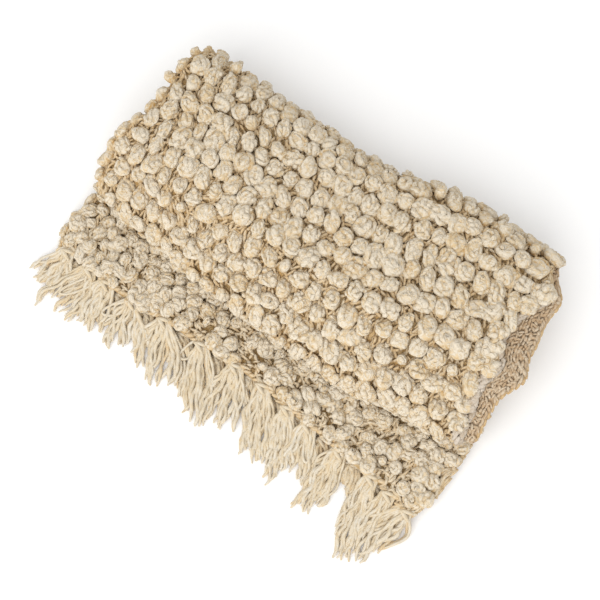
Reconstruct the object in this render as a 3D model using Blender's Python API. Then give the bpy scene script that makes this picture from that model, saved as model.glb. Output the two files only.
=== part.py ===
"""A chunky bobble-knit throw: doubled across its width, folded along its length, with a tassel fringe.

Metres, +Z up. +X runs along the folded stack towards its open side edges, and the doubling fold is
at -X. The fringed edge lies in front, at -Y, on the surface that the throw rests on (z = 0).
"""

import bpy
import bmesh
import numpy as np

# The knitted cloth. Its thickness is the knit with its bobbles.
PRESSED = 0.0095  # between two layers
FREE = 0.0180  # where nothing presses on the bobbles
SHEET_GAP = 0.0020  # between the two sheets of the doubled cloth
LAYER_GAP = 0.0020  # between one doubled layer and the next
SIDE_FOLD_REACH = 0.0190  # how far the doubling fold bulges past the sheets' ends at -X
LEVEL_PITCH = 2 * PRESSED + SHEET_GAP + LAYER_GAP

# Where the fold path turns, along Y.
FRINGED_EDGE = -0.113
STRIP_BACK = -0.048
FRONT_TURN = -0.014
BACK_TURN = 0.176
TOP_MIDDLE = 0.100
TUCKED_TURN = 0.060
HIDDEN_EDGE = 0.170

# The fold path, from the fringed edge to the hidden one. Each row is the start of a stretch that runs
# to the next row's place in the given steps. Level 0 lies on the surface and level 4 is the top. A
# change of level is a half turn. "left" is where the doubling fold lies along X, and "face_edge" and
# "lining_edge" are the side edges of the two sheets. The face sheet is on the outside of the first two
# folds, and the other sheet is the same cloth on the other side of the doubling fold.
STRETCHES = [
    # name, y, level, steps, left, face_edge, lining_edge, face_loft, lining_loft
    ("fringed strip", FRINGED_EDGE, 0, 3, -0.322, 0.280, 0.300, PRESSED, FREE),
    ("strip at the fold", -0.074, 0, 2, -0.326, 0.284, 0.306, PRESSED, FREE),
    ("bottom run", STRIP_BACK, 0, 9, -0.322, 0.280, 0.304, PRESSED, PRESSED),
    ("back fold", BACK_TURN, 0, 10, -0.322, 0.276, 0.264, PRESSED, PRESSED),
    ("top run", BACK_TURN, 4, 4, -0.331, 0.282, 0.296, FREE, PRESSED),
    ("top run, front half", TOP_MIDDLE, 4, 5, -0.328, 0.266, 0.308, FREE, PRESSED),
    ("front fold", FRONT_TURN, 4, 8, -0.322, 0.280, 0.304, FREE, PRESSED),
    ("second run", FRONT_TURN, 3, 7, -0.320, 0.286, 0.304, PRESSED, PRESSED),
    ("inner back fold", BACK_TURN, 3, 6, -0.322, 0.276, 0.290, PRESSED, PRESSED),
    ("third run", BACK_TURN, 2, 4, -0.324, 0.280, 0.294, PRESSED, PRESSED),
    ("tucked front fold", TUCKED_TURN, 2, 6, -0.318, 0.284, 0.300, PRESSED, PRESSED),
    ("tucked run", TUCKED_TURN, 1, 4, -0.320, 0.280, 0.296, PRESSED, PRESSED),
    ("hidden edge", HIDDEN_EDGE, 1, 0, -0.324, 0.276, 0.292, PRESSED, PRESSED),
]
SHEET_STEPS = 11  # along X on each sheet
SIDE_FOLD_STEPS = 6  # round the doubling fold

# The top and second runs sink over the tucked front fold to lie on the strip.
SINK = 0.043
SINK_FROM = 0.066
SINK_TO = -0.030
SINK_HOLD = -0.052
SINK_END = -0.074

# How far the outline wanders from its straight lines: the fringed edge, the front and the back along Y.
OUTLINE_Y = [
    # x, fringed_edge, front, back
    (-0.33, 0.003, 0.014, 0.010),
    (-0.22, -0.004, 0.000, 0.004),
    (-0.12, 0.001, -0.011, 0.001),
    (0.00, 0.004, -0.017, 0.002),
    (0.11, -0.006, -0.018, 0.026),
    (0.21, -0.015, -0.006, 0.028),
    (0.31, -0.029, 0.010, 0.026),
]
LINES_Y = (-0.113, -0.045, 0.240)  # where those three lines lie when straight

# How far the two ends wander along X.
OUTLINE_X = [
    # y, left, right
    (-0.120, 0.012, -0.005),
    (-0.075, 0.002, 0.002),
    (-0.030, 0.007, 0.004),
    (0.030, 0.003, -0.002),
    (0.064, 0.016, 0.010),
    (0.096, 0.026, -0.002),
    (0.130, 0.029, -0.003),
    (0.170, 0.025, 0.004),
    (0.203, 0.029, -0.015),
    (0.245, 0.040, -0.009),
]

LEFT_END = -0.30  # up to here the left end's wander holds, and it passes into the right one's
ENDS_APART = 0.56  # over this distance

# Broad hills and hollows of the stack, as a share of the height.
HILLS = [
    # x, y, radius_x, radius_y, rise
    (-0.20, 0.10, 0.16, 0.12, 0.045),
    (0.05, 0.02, 0.14, 0.10, 0.030),
    (0.16, 0.16, 0.14, 0.10, 0.040),
    (-0.06, 0.20, 0.12, 0.09, -0.045),
    (0.28, 0.03, 0.09, 0.12, -0.060),
    (-0.33, -0.02, 0.10, 0.09, -0.060),
]

# The fringe, one comb of tassels lying on the surface.
FRINGE_GAP = 0.0020  # to the cloth's edge
HEADING_DEPTH = 0.009  # the row of hitches along the edge
HEADING_HEIGHT = 0.017
TASSEL_ROOT = 0.042
TASSEL_STEPS = 5
TIP_HEIGHT = 0.006
WIDENING = 1.8  # a tassel is as wide as its spread after 1 / 1.8 of its length
TIP_NARROWING = 0.72  # the share of the width that is gone at the tip, with the cube of the distance
SWING_POWER = 1.4  # the sideways travel, as a power of the distance from the root
FALL_POWER = 1.5  # the height above the tip's, as a power of the distance from the tip
TASSELS = [
    # x, length, lean (sideways travel at the tip), spread (width before the tip)
    (-0.297, 0.062, -0.014, 0.048),
    (-0.243, 0.080, -0.004, 0.050),
    (-0.189, 0.066, 0.012, 0.048),
    (-0.135, 0.084, 0.024, 0.050),
    (-0.081, 0.092, 0.034, 0.048),
    (-0.027, 0.092, 0.034, 0.050),
    (0.027, 0.094, 0.034, 0.048),
    (0.081, 0.082, 0.026, 0.050),
    (0.135, 0.084, 0.020, 0.046),
    (0.189, 0.100, 0.012, 0.048),
    (0.243, 0.100, 0.012, 0.046),
    (0.289, 0.066, 0.006, 0.036),
]

KNIT_COLOUR = (0.72, 0.61, 0.45, 1.0)
FRINGE_COLOUR = (0.78, 0.66, 0.46, 1.0)


def smooth(t):
    """0 to 1 with level ends: 3 t squared less 2 t cubed."""
    t = np.clip(t, 0.0, 1.0)
    return t * t * (3.0 - 2.0 * t)


def through(x, rows, column):
    """A smooth curve through one column of a table whose first column is x."""
    xs = np.array([row[0] for row in rows])
    ys = np.array([row[column] for row in rows])
    i = np.clip(np.searchsorted(xs, x) - 1, 0, len(xs) - 2)
    return ys[i] + (ys[i + 1] - ys[i]) * smooth((x - xs[i]) / (xs[i + 1] - xs[i]))


def level_height(level):
    """The middle of a doubled layer."""
    return PRESSED + SHEET_GAP / 2 + level * LEVEL_PITCH


def fold_path():
    """Points of the doubled layer's middle, its unit normals towards the face sheet, and the table's
    values at each. A run is a straight line and a turn is a half circle."""
    middle, normal, values = [], [], []
    for here, following in zip(STRETCHES, STRETCHES[1:]):
        name, y, level, steps = here[:4]
        y_next, level_next = following[1:3]
        for step in range(steps):
            t = step / steps
            if level == level_next:
                forward = np.sign(y_next - y)
                middle.append((y + (y_next - y) * t, level_height(level)))
                normal.append((0.0, -forward))
            else:
                low = level_height(level)
                high = level_height(level_next)
                radius = (high - low) / 2
                side = 1.0 if "back" in name else -1.0
                turned = np.pi * t
                across = side * np.sin(turned)
                along = -np.cos(turned) * np.sign(radius)
                middle.append((y + abs(radius) * across, (low + high) / 2 + abs(radius) * along))
                outside = 1.0 if name != "inner back fold" else -1.0
                normal.append((outside * across, outside * along))
            ends = np.array(here[4:]), np.array(following[4:])
            values.append(ends[0] + (ends[1] - ends[0]) * smooth(t))
    last = STRETCHES[-1]
    middle.append((last[1], level_height(last[2])))
    normal.append(normal[-1])
    values.append(np.array(last[4:]))
    return np.array(middle), np.array(normal), np.array(values)


def layer_profile(left, face_edge, lining_edge, face_loft, lining_loft):
    """The doubled layer across its width, as X and the distance from its middle, for the bobble side
    and the reverse side: out along the face sheet, round an elliptical fold, and back."""
    across = np.linspace(0.0, 1.0, SHEET_STEPS + 1)
    round_it = np.pi * np.arange(1, SIDE_FOLD_STEPS) / SIDE_FOLD_STEPS
    sides = []
    for face, lining, reach in (
        (SHEET_GAP / 2 + face_loft, SHEET_GAP / 2 + lining_loft, SIDE_FOLD_REACH),
        (SHEET_GAP / 2, SHEET_GAP / 2, SHEET_GAP / 2),
    ):
        half = np.where(round_it < np.pi / 2, face, lining)
        x = [face_edge + (left - face_edge) * across, left - reach * np.sin(round_it)]
        x += [left + (lining_edge - left) * across]
        off = [np.full(len(across), face), half * np.cos(round_it), np.full(len(across), -lining)]
        sides.append(np.stack([np.concatenate(x), np.concatenate(off)]))
    return sides


def sink(points):
    """Lets the upper layers down at the front. The space under them closes, and level 0 stays."""
    y, z = points[:, 1], points[:, 2]
    rest = LEVEL_PITCH - LAYER_GAP
    carried = 3 * LEVEL_PITCH
    depth = smooth((SINK_FROM - y) / (SINK_FROM - SINK_TO))
    depth = depth * (1.0 - smooth((SINK_HOLD - y) / (SINK_HOLD - SINK_END)))
    points[:, 2] -= SINK * depth * np.clip((z - rest) / (carried - rest), 0.0, 1.0)


def wander(points):
    """Moves the straight outline to its uneven one, and raises the hills."""
    x, y = points[:, 0].copy(), points[:, 1].copy()
    edge, front, back = (through(x, OUTLINE_Y, column) for column in (1, 2, 3))
    low, middle, high = LINES_Y
    shift = edge + (front - edge) * smooth((y - low) / (middle - low))
    shift += (back - front) * smooth((y - middle) / (high - middle))
    points[:, 1] += shift
    end = smooth((x - LEFT_END) / ENDS_APART)
    points[:, 0] += through(y, OUTLINE_X, 1) * (1.0 - end) + through(y, OUTLINE_X, 2) * end
    rise = np.zeros(len(x))
    for hill_x, hill_y, radius_x, radius_y, share in HILLS:
        rise += share * np.exp(-(((x - hill_x) / radius_x) ** 2) - ((y - hill_y) / radius_y) ** 2)
    points[:, 2] *= 1.0 + rise


def grid_quads(rows, columns, first):
    """Quads of a grid whose points are numbered row by row."""
    corner = (np.arange(rows - 1)[:, None] * columns + np.arange(columns - 1)).ravel() + first
    return np.stack([corner, corner + 1, corner + columns + 1, corner + columns], axis=1)


def cloth_mesh():
    """The bobble side and the reverse side as two grids, joined all round their edges."""
    middle, normal, values = fold_path()
    sides = [[], []]
    for (y, z), (ny, nz), row in zip(middle, normal, values):
        for side, (x, off) in zip(sides, layer_profile(*row)):
            side.append(np.stack([x, y + ny * off, z + nz * off], axis=1))
    rows, columns = len(middle), len(sides[0][0])
    points = np.concatenate([np.concatenate(side) for side in sides])
    sink(points)
    wander(points)
    count = rows * columns
    quads = [grid_quads(rows, columns, 0), grid_quads(rows, columns, count)[:, ::-1]]
    number = np.arange(count).reshape(rows, columns)
    for rim in (number[0], number[-1], number[:, 0], number[:, -1]):
        quads.append(np.stack([rim[:-1], rim[1:], rim[1:] + count, rim[:-1] + count], axis=1))
    return points, np.concatenate(quads)


def fringe_line(cloth):
    """The line that the fringe starts from, a little before the cloth's fringed edge: the foremost of
    its lower and its upper sheet along X."""
    edge = cloth[: 2 * SHEET_STEPS + SIDE_FOLD_STEPS + 1]
    lower, upper = edge[: SHEET_STEPS + 1][::-1], edge[-SHEET_STEPS - 1 :]

    def line(x):
        foremost = np.minimum(*(np.interp(x, sheet[:, 0], sheet[:, 1]) for sheet in (lower, upper)))
        return foremost - FRINGE_GAP

    return line


def tassel_rows(line, x, length, lean, spread):
    """The two sides of a tassel at each step from its root to its tip: it widens from the hitch to its
    spread, and draws in to a blunt tip, while it swings sideways."""
    t = np.arange(1, TASSEL_STEPS + 1) / TASSEL_STEPS
    half = 0.5 * (TASSEL_ROOT + (spread - TASSEL_ROOT) * smooth(t * WIDENING)) * (1.0 - TIP_NARROWING * t**3)
    centre = x + lean * t**SWING_POWER
    y = line(x) - HEADING_DEPTH - length * t
    height = TIP_HEIGHT + (HEADING_HEIGHT - TIP_HEIGHT) * (1.0 - t) ** FALL_POWER
    return np.stack([centre - half, y, height], 1), np.stack([centre + half, y, height], 1)


def fringe_mesh(cloth):
    """The heading as a strip of quads, a strip of quads on it for each tassel, and the same below at
    z = 0, with walls along every edge that has a face on one side only."""
    roots = np.array([row[0] for row in TASSELS])
    ends = np.sort(np.concatenate([roots - TASSEL_ROOT / 2, roots + TASSEL_ROOT / 2]))
    line = fringe_line(cloth)
    back = line(ends)
    height = np.full(len(ends), HEADING_HEIGHT)
    tops = [np.stack([ends, back, height], 1), np.stack([ends, back - HEADING_DEPTH, height], 1)]
    columns = len(ends)
    quads = [(i, i + 1, columns + i + 1, columns + i) for i in range(columns - 1)]
    total = 2 * columns
    for k, tassel in enumerate(TASSELS):
        left, right = tassel_rows(line, *tassel)
        tops += [left, right]
        l, r = columns + 2 * k, columns + 2 * k + 1
        for step in range(TASSEL_STEPS):
            l_next, r_next = total + step, total + TASSEL_STEPS + step
            quads.append((l, r, r_next, l_next))
            l, r = l_next, r_next
        total += 2 * TASSEL_STEPS
    tops = np.concatenate(tops)
    quads = np.array(quads)
    floor = tops * (1.0, 1.0, 0.0)
    sides = np.concatenate([quads[:, [i, (i + 1) % 4]] for i in range(4)])
    shared = {tuple(sorted(side)) for side in map(tuple, sides)}
    counts = {side: 0 for side in shared}
    for side in map(tuple, sides):
        counts[tuple(sorted(side))] += 1
    walls = [(a, b, b + total, a + total) for a, b in sides if counts[tuple(sorted((a, b)))] == 1]
    return np.concatenate([tops, floor]), np.concatenate([quads, quads[:, ::-1] + total, walls])


def plain_material(name, colour):
    material = bpy.data.materials.new(name)
    material.use_nodes = True
    shader = material.node_tree.nodes["Principled BSDF"]
    shader.inputs["Base Color"].default_value = colour
    shader.inputs["Roughness"].default_value = 0.95
    shader.inputs["Metallic"].default_value = 0.0
    return material


def add_part(name, points, quads, material):
    mesh = bpy.data.meshes.new(name)
    mesh.from_pydata(points.tolist(), [], quads.tolist())
    shaped = bmesh.new()
    shaped.from_mesh(mesh)
    bmesh.ops.recalc_face_normals(shaped, faces=shaped.faces)
    shaped.to_mesh(mesh)
    shaped.free()
    mesh.materials.append(material)
    mesh.shade_smooth()
    part = bpy.data.objects.new(name, mesh)
    bpy.context.scene.collection.objects.link(part)
    return part


def main():
    for old in list(bpy.data.objects):
        bpy.data.objects.remove(old)
    cloth, cloth_quads = cloth_mesh()
    fringe, fringe_quads = fringe_mesh(cloth)
    everything = np.concatenate([cloth, fringe])
    low, high = everything.min(axis=0), everything.max(axis=0)
    origin = np.array([(low[0] + high[0]) / 2, (low[1] + high[1]) / 2, low[2]])
    add_part("knitted_cloth", cloth - origin, cloth_quads, plain_material("Knit", KNIT_COLOUR))
    add_part("tassel_fringe", fringe - origin, fringe_quads, plain_material("Fringe", FRINGE_COLOUR))


main()
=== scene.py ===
"""The looks of a chunky bobble-knit throw with a tassel fringe, folded in layers on a plain surface.

The throw is one knitted sheet, doubled across its width and folded along its length. Every piece is
worked out on that folded sheet, from three measures: how far along the fold path, how far across from
the doubling fold, and how far out from the middle between the doubled sheets.
"""

import math

import bpy
import numpy as np
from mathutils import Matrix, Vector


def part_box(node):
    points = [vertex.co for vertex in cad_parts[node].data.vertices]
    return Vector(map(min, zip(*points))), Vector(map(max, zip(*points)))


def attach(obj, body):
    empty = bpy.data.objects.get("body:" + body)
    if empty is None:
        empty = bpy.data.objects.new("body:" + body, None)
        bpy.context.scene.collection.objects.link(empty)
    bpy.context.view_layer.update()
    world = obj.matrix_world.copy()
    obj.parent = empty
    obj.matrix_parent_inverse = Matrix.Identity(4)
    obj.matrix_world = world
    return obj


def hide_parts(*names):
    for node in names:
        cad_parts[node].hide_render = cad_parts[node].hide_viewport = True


bl_info = {
    "name": "Bobble-knit throw",
    "version": (1, 0, 0),
    "blender": (4, 5, 0),
    "location": "3D View > Sidebar > Throw",
    "description": "Knits the folded throw's sheet, bobbles, ground stitches, edges and tassels",
    "category": "Add Mesh",
}

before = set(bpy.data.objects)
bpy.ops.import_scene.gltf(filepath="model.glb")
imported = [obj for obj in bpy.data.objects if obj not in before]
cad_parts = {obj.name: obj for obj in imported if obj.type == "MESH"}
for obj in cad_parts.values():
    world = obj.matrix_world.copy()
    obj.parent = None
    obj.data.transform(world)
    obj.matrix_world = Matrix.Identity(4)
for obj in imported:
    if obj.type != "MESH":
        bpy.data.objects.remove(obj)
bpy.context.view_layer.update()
BODY = "root"

# The fold of the cloth, in metres, as the part's solids have it -----------------------------------

PRESSED = 0.0095  # the knit with its bobbles, between two layers
FREE = 0.0180  # the same where nothing presses on it
SHEET_GAP = 0.0020  # between the two sheets of a layer
LAYER_GAP = 0.0020  # between two layers
SIDE_FOLD_REACH = 0.0190  # how far the doubling fold stands out from where the sheets are flat
LEVEL_PITCH = 2 * PRESSED + SHEET_GAP + LAYER_GAP

# Where the edges and the turns lie along Y
FRINGED_EDGE = -0.113
STRIP_BACK = -0.048
FRONT_TURN = -0.014
BACK_TURN = 0.176
TOP_MIDDLE = 0.100
TUCKED_TURN = 0.060
HIDDEN_EDGE = 0.170

# The fold path from the fringed edge to the hidden one: where each stretch starts, where the doubling
# fold and the two sheets' side edges lie along X there, and how thick the knit is on each sheet. A
# change of level is a half turn.
STRETCHES = [
    # name, y, level, left, face_edge, lining_edge, face_loft, lining_loft
    ("fringed strip", FRINGED_EDGE, 0, -0.322, 0.280, 0.300, PRESSED, FREE),
    ("strip at the fold", -0.074, 0, -0.326, 0.284, 0.306, PRESSED, FREE),
    ("bottom run", STRIP_BACK, 0, -0.322, 0.280, 0.304, PRESSED, PRESSED),
    ("back fold", BACK_TURN, 0, -0.322, 0.276, 0.264, PRESSED, PRESSED),
    ("top run", BACK_TURN, 4, -0.331, 0.282, 0.296, FREE, PRESSED),
    ("top run, front half", TOP_MIDDLE, 4, -0.328, 0.266, 0.308, FREE, PRESSED),
    ("front fold", FRONT_TURN, 4, -0.322, 0.280, 0.304, FREE, PRESSED),
    ("second run", FRONT_TURN, 3, -0.320, 0.286, 0.304, PRESSED, PRESSED),
    ("inner back fold", BACK_TURN, 3, -0.322, 0.276, 0.290, PRESSED, PRESSED),
    ("third run", BACK_TURN, 2, -0.324, 0.280, 0.294, PRESSED, PRESSED),
    ("tucked front fold", TUCKED_TURN, 2, -0.318, 0.284, 0.300, PRESSED, PRESSED),
    ("tucked run", TUCKED_TURN, 1, -0.320, 0.280, 0.296, PRESSED, PRESSED),
    ("hidden edge", HIDDEN_EDGE, 1, -0.324, 0.276, 0.292, PRESSED, PRESSED),
]
STRETCH_STEPS = 32  # samples on each stretch of the path
LEAD_IN = 0.030  # the path is carried this far past each end of the cloth

SINK = 0.043  # how far the upper layers come down at the front
SINK_FROM = 0.066  # the y at which they start to come down
SINK_TO = -0.030  # the y at which they are down
SINK_HOLD = -0.052  # from here to SINK_END the strip in front is left where it lies
SINK_END = -0.074

OUTLINE_Y = [
    # x, and how far the fringed edge, the front fold and the back fold are moved along Y there
    (-0.33, 0.003, 0.014, 0.010),
    (-0.22, -0.004, 0.000, 0.004),
    (-0.12, 0.001, -0.011, 0.001),
    (0.00, 0.004, -0.017, 0.002),
    (0.11, -0.006, -0.018, 0.026),
    (0.21, -0.015, -0.006, 0.028),
    (0.31, -0.029, 0.010, 0.026),
]
LINES_Y = (FRINGED_EDGE, -0.045, 0.240)  # where those three lie

OUTLINE_X = [
    # y, and how far the left and the right end are moved along X there
    (-0.120, 0.012, -0.005),
    (-0.075, 0.002, 0.002),
    (-0.030, 0.007, 0.004),
    (0.030, 0.003, -0.002),
    (0.064, 0.016, 0.010),
    (0.096, 0.026, -0.002),
    (0.130, 0.029, -0.003),
    (0.170, 0.025, 0.004),
    (0.203, 0.029, -0.015),
    (0.245, 0.040, -0.009),
]

ENDS_X = (-0.30, 0.26)  # from one to the other, the left end's move fades into the right end's

HILLS = [
    # x, y, radius along X, radius along Y, rise as a share of the height
    (-0.20, 0.10, 0.16, 0.12, 0.045),
    (0.05, 0.02, 0.14, 0.10, 0.030),
    (0.16, 0.16, 0.14, 0.10, 0.040),
    (-0.06, 0.20, 0.12, 0.09, -0.045),
    (0.28, 0.03, 0.09, 0.12, -0.060),
    (-0.33, -0.02, 0.10, 0.09, -0.060),
]

TASSELS = [
    # x in the part's frame, length, lean (sideways travel at the tip), spread (width at the tips), and
    # the length of the lower sheet's tassel to its right, as a share of its neighbours'
    (-0.296, 0.056, -0.006, 0.032, 0.70),
    (-0.254, 0.078, -0.014, 0.052, 0.70),
    (-0.224, 0.060, 0.010, 0.034, 0.44),
    (-0.178, 0.062, 0.020, 0.050, 0.60),
    (-0.126, 0.082, 0.030, 0.072, 0.68),
    (-0.063, 0.091, 0.044, 0.040, 0.56),
    (-0.006, 0.088, 0.022, 0.040, 0.42),
    (0.040, 0.094, 0.044, 0.030, 0.34),
    (0.086, 0.076, 0.028, 0.028, 0.60),
    (0.122, 0.073, 0.024, 0.036, 0.44),
    (0.178, 0.094, 0.004, 0.030, 0.34),
    (0.233, 0.102, 0.018, 0.026, 0.66),
    (0.264, 0.092, 0.010, 0.030, 0.62),
    (0.298, 0.072, -0.022, 0.044, 0.0),
]

LOOPS = [
    # x, length, lean, width: yarns that turn back before they end
    (-0.236, 0.052, -0.034, 0.012),
    (-0.176, 0.040, -0.026, 0.014),
    (-0.066, 0.034, -0.010, 0.012),
    (0.128, 0.046, 0.020, 0.010),
]


def smooth(t):
    """0 to 1 with level ends: 3 t squared less 2 t cubed."""
    t = np.clip(t, 0.0, 1.0)
    return t * t * (3.0 - 2.0 * t)


def through(x, rows, column):
    """A smooth curve through one column of a table whose first column is x."""
    xs = np.array([row[0] for row in rows])
    ys = np.array([row[column] for row in rows])
    i = np.clip(np.searchsorted(xs, x) - 1, 0, len(xs) - 2)
    return ys[i] + (ys[i + 1] - ys[i]) * smooth((x - xs[i]) / (xs[i + 1] - xs[i]))


def level_height(level):
    """The middle of a doubled layer."""
    return PRESSED + SHEET_GAP / 2 + level * LEVEL_PITCH


def fold_route():
    """The fold path as rows of distance, y, z, normal y and z towards the face sheet, and the table's
    five values, with the distance at which each stretch starts. A run is straight, a turn is a half
    circle, and the values blend smoothly from one stretch to the next."""
    t = np.arange(STRETCH_STEPS) / STRETCH_STEPS
    rows = []
    for here, following in zip(STRETCHES, STRETCHES[1:]):
        (name, y, level), (y_next, level_next) = here[:3], following[1:3]
        if level == level_next:
            forward = np.sign(y_next - y)
            path = [y + (y_next - y) * t, level_height(level) + 0 * t, 0 * t, -forward + 0 * t]
        else:
            low, high = level_height(level), level_height(level_next)
            radius = (high - low) / 2
            side = 1.0 if "back" in name else -1.0
            outside = 1.0 if name != "inner back fold" else -1.0
            across, along = side * np.sin(np.pi * t), -np.cos(np.pi * t) * np.sign(radius)
            path = [y + abs(radius) * across, (low + high) / 2 + abs(radius) * along]
            path += [outside * across, outside * along]
        start, end = np.array(here[3:])[:, None], np.array(following[3:])[:, None]
        rows.append(np.concatenate([path, start + (end - start) * smooth(t)]).T)
    last = STRETCHES[-1]
    rows.append(np.array([[last[1], level_height(last[2]), 0.0, rows[-1][-1, 3], *last[3:]]]))
    route = np.concatenate(rows)
    before, after = route[0].copy(), route[-1].copy()
    before[0] -= LEAD_IN
    after[0] += LEAD_IN
    route = np.concatenate([before[None], route, after[None]])
    steps = np.hypot(*np.diff(route[:, :2], axis=0).T)
    distance = np.concatenate([[0.0], np.cumsum(steps)]) - LEAD_IN
    starts = {row[0]: distance[1 + i * STRETCH_STEPS] for i, row in enumerate(STRETCHES)}
    return np.column_stack([distance, route]), starts


ROUTE, START = fold_route()
PATH_LENGTH = START["hidden edge"]
STRIP_END = START["bottom run"] + 0.045  # the strip's knit goes on a little under the front fold
HALF_TURN = 0.018  # the cloth's own length in one half of the doubling fold


def at_distance(s):
    """The route's columns at distances along it."""
    return [np.interp(s, ROUTE[:, 0], ROUTE[:, column]) for column in range(1, ROUTE.shape[1])]


def sheet_edge(s, side):
    """How far a sheet's side edge lies from the doubling fold: the face sheet's where side is negative,
    the lining's where it is positive."""
    left, face_edge, lining_edge = at_distance(s)[4:7]
    return HALF_TURN + np.where(side < 0, face_edge, lining_edge) - left


def loft_at(s, u):
    """The thickness of the knit with its bobbles, blended round the doubling fold."""
    face_loft, lining_loft = at_distance(s)[7:9]
    return face_loft + (lining_loft - face_loft) * smooth(0.5 + 0.5 * u / HALF_TURN)


def sink(points):
    """Lets the upper layers down at the front. The space under them closes, and level 0 stays."""
    y, z = points[..., 1], points[..., 2]
    rest = LEVEL_PITCH - LAYER_GAP
    carried = 3 * LEVEL_PITCH
    depth = smooth((SINK_FROM - y) / (SINK_FROM - SINK_TO))
    depth = depth * (1.0 - smooth((SINK_HOLD - y) / (SINK_HOLD - SINK_END)))
    points[..., 2] -= SINK * depth * np.clip((z - rest) / (carried - rest), 0.0, 1.0)


def wander(points):
    """Moves the straight outline to its uneven one, and raises the hills."""
    x, y = points[..., 0].copy(), points[..., 1].copy()
    edge, front, back = (through(x, OUTLINE_Y, column) for column in (1, 2, 3))
    low, middle, high = LINES_Y
    shift = edge + (front - edge) * smooth((y - low) / (middle - low))
    shift += (back - front) * smooth((y - middle) / (high - middle))
    points[..., 1] += shift
    end = smooth((x - ENDS_X[0]) / (ENDS_X[1] - ENDS_X[0]))
    points[..., 0] += through(y, OUTLINE_X, 1) * (1.0 - end) + through(y, OUTLINE_X, 2) * end
    rise = np.zeros(x.shape)
    for hill_x, hill_y, radius_x, radius_y, share in HILLS:
        rise += share * np.exp(-(((x - hill_x) / radius_x) ** 2) - ((y - hill_y) / radius_y) ** 2)
    points[..., 2] *= 1.0 + rise


def folded(s, u, off):
    """Where a point of the throw lies, before it is set in the part's frame. s is the distance along
    the fold path; u the distance from the doubling fold, below 0 on the face sheet and above 0 on the
    lining; off the distance out from the middle between the sheets. Near u = 0 the point goes round
    half an ellipse, and past it straight out along X."""
    s, u, off = np.broadcast_arrays(s, u, off)
    y, z, normal_y, normal_z, left = at_distance(s)[:5]
    turn = np.clip(u / HALF_TURN, -1.0, 1.0) * np.pi / 2
    reach = off * SIDE_FOLD_REACH / (loft_at(s, u) + SHEET_GAP / 2)
    x = left + np.maximum(np.abs(u) - HALF_TURN, 0.0) - reach * np.cos(turn)
    rise = -off * np.sin(turn)
    points = np.stack([x, y + normal_y * rise, z + normal_z * rise], axis=-1)
    sink(points)
    wander(points)
    return points


def frame_shift():
    """What brings the folded sheet to the CAD solid's place: the solid's box less the bobble tops'."""
    s = np.linspace(0.0, PATH_LENGTH, 400)[:, None]
    share = np.linspace(-1.0, 1.0, 161)[None]
    u = share * sheet_edge(s, share)
    tops = folded(s, u, loft_at(s, u) + SHEET_GAP / 2).reshape(-1, 3)
    low, high = (np.array(corner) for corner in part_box("knitted_cloth"))
    middle = (low + high) / 2 - (tops.min(axis=0) + tops.max(axis=0)) / 2
    return np.array([middle[0], middle[1], low[2] - tops[:, 2].min()])


FRAME_SHIFT = frame_shift()


def place(s, u, off):
    """Where a point of the throw lies in the part's frame."""
    return folded(s, u, off) + FRAME_SHIFT


# Meshes of many yarns at once ---------------------------------------------------------------------


def unit(vectors):
    """Vectors divided by their lengths."""
    return vectors / np.maximum(np.linalg.norm(vectors, axis=-1, keepdims=True), 1e-12)


def frames_at(s, u, base, top):
    """A centre, three unit directions (along the path, across it, and out) and the height from base to
    top, at each point of the sheet."""
    step = 0.004  # to each side, to find the direction along
    low, high = place(s, u, base), place(s, u, top)
    out = high - low
    along = place(s + step, u, (base + top) / 2) - place(s - step, u, (base + top) / 2)
    out_unit = unit(out)
    along = unit(along - out_unit * np.sum(along * out_unit, axis=-1, keepdims=True))
    return (low + high) / 2, along, np.cross(out_unit, along), out_unit, np.linalg.norm(out, axis=-1)


ON_FLOOR = 0.0003  # what lies on the surface keeps this far above it


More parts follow.
